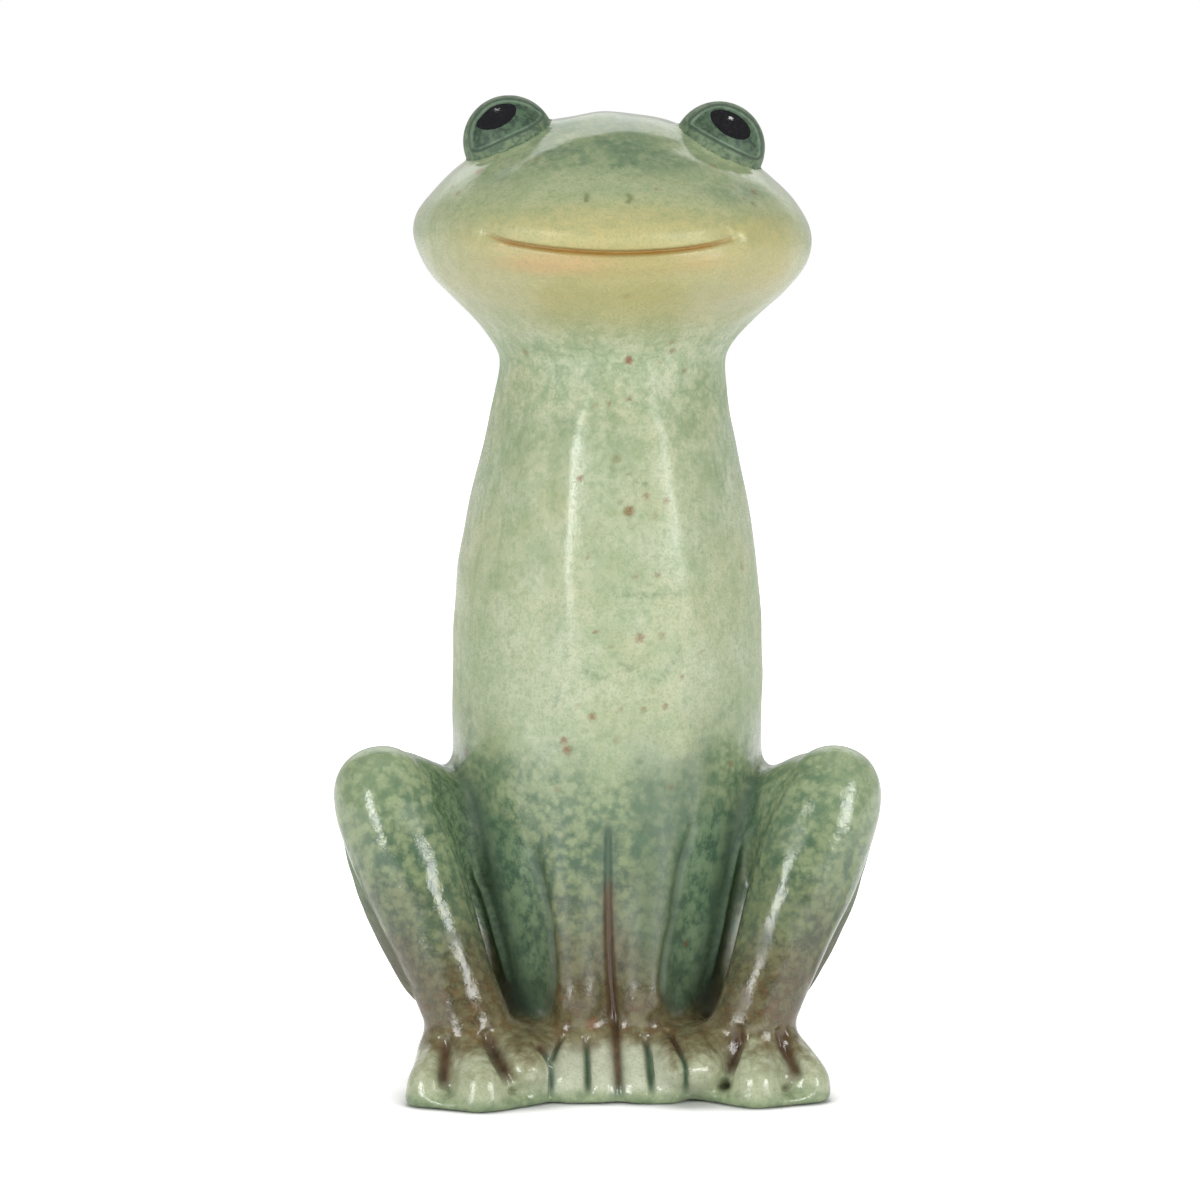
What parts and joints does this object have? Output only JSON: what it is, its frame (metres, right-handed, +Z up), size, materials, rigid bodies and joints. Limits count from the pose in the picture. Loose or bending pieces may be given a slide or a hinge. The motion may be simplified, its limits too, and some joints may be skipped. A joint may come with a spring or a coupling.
{
  "type": "frog figurine",
  "caption": "Tall slender sitting frog figurine in glossy mottled green glazed earthenware, smiling, with folded hind legs and straight forelegs, for a shelf or a garden border.",
  "frame": {"origin": "On the ground under the middle of the figurine's footprint", "axes": "+Z up, the frog looks along -Y, +X to the right of someone facing it"},
  "size_m": [0.162, 0.1405, 0.2925],
  "materials": {
    "body_glaze": "glossy",
    "head_glaze": "glossy",
    "leg_glaze": "glossy",
    "foot_glaze": "glossy",
    "eye_glaze": "glossy",
    "pupil_glaze": "glossy"
  },
  "bodies": {
    "root": {"torso": "body_glaze", "head": "head_glaze", "left_thigh": "leg_glaze", "left_shin": "leg_glaze", "left_hind_foot": "foot_glaze", "left_foreleg": "leg_glaze", "left_forefoot": "foot_glaze", "left_eyelids": "head_glaze", "left_eyeball": "eye_glaze", "left_pupil": "pupil_glaze", "right_thigh": "leg_glaze", "right_shin": "leg_glaze", "right_hind_foot": "foot_glaze", "right_foreleg": "leg_glaze", "right_forefoot": "foot_glaze", "right_eyelids": "head_glaze", "right_eyeball": "eye_glaze", "right_pupil": "pupil_glaze"}
  },
  "joints": []
}
